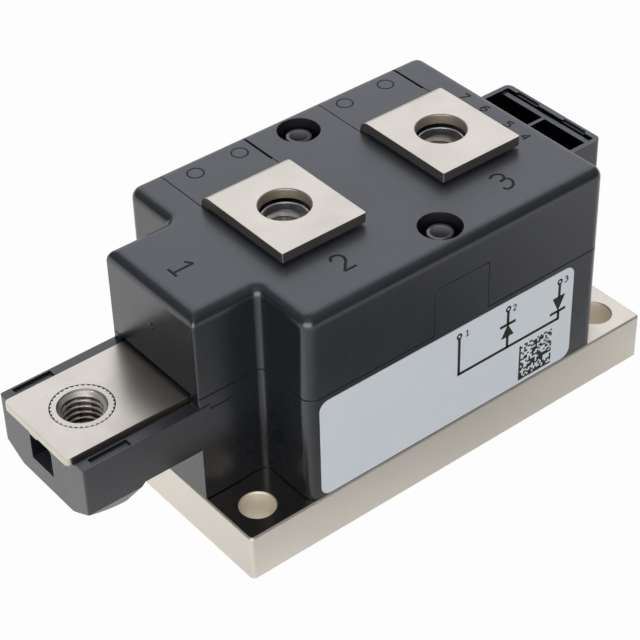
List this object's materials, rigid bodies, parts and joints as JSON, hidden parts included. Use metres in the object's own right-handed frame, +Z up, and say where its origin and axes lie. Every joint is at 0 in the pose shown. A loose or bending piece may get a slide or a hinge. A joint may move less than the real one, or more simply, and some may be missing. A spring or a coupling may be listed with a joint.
{
  "type": "diode module",
  "caption": "Power diode module in a moulded block on a thick metal baseplate, with screw terminals on bent busbars and a strip terminal on an arm.",
  "frame": {"origin": "centre of the baseplate's underside", "axes": "+X along the length from terminal 1 to the gate connector, +Y from the rating label to the back, +Z up from the baseplate"},
  "size_m": [0.1158, 0.05, 0.0514],
  "materials": {
    "plated_base": "satin nickel plating over copper",
    "moulding": "dark grey glass-filled plastic, fine grain",
    "plated_terminal": "satin nickel plating over copper",
    "plated_nut": "bluish zinc plating over steel",
    "press_nut": "nickel plating over steel",
    "label_film": "matt printed film, bluish grey",
    "copper_foil": "bare copper",
    "white_ceramic": "fine matt",
    "silicon": "smooth dark grey",
    "contact_metal": "satin",
    "clear_gel": "soft and clear"
  },
  "bodies": {
    "root": {"base_plate": "plated_base", "housing_frame": "moulding", "housing_lid": "moulding", "terminal_1_strip": "plated_terminal", "terminal_1_nut": "press_nut", "terminal_2_bar": "plated_terminal", "terminal_3_bar": "plated_terminal", "terminal_2_nut": "plated_nut", "terminal_3_nut": "plated_nut", "terminal_2_insert": "moulding", "terminal_3_insert": "moulding", "rating_label": "label_film", "lower_copper_2": "copper_foil", "lower_copper_3": "copper_foil", "upper_copper_2": "copper_foil", "upper_copper_3": "copper_foil", "ceramic_plate_2": "white_ceramic", "ceramic_plate_3": "white_ceramic", "diode_chip_2": "silicon", "diode_chip_3": "silicon", "contact_plate_2": "contact_metal", "contact_plate_3": "contact_metal", "silicone_gel": "clear_gel"}
  },
  "joints": []
}
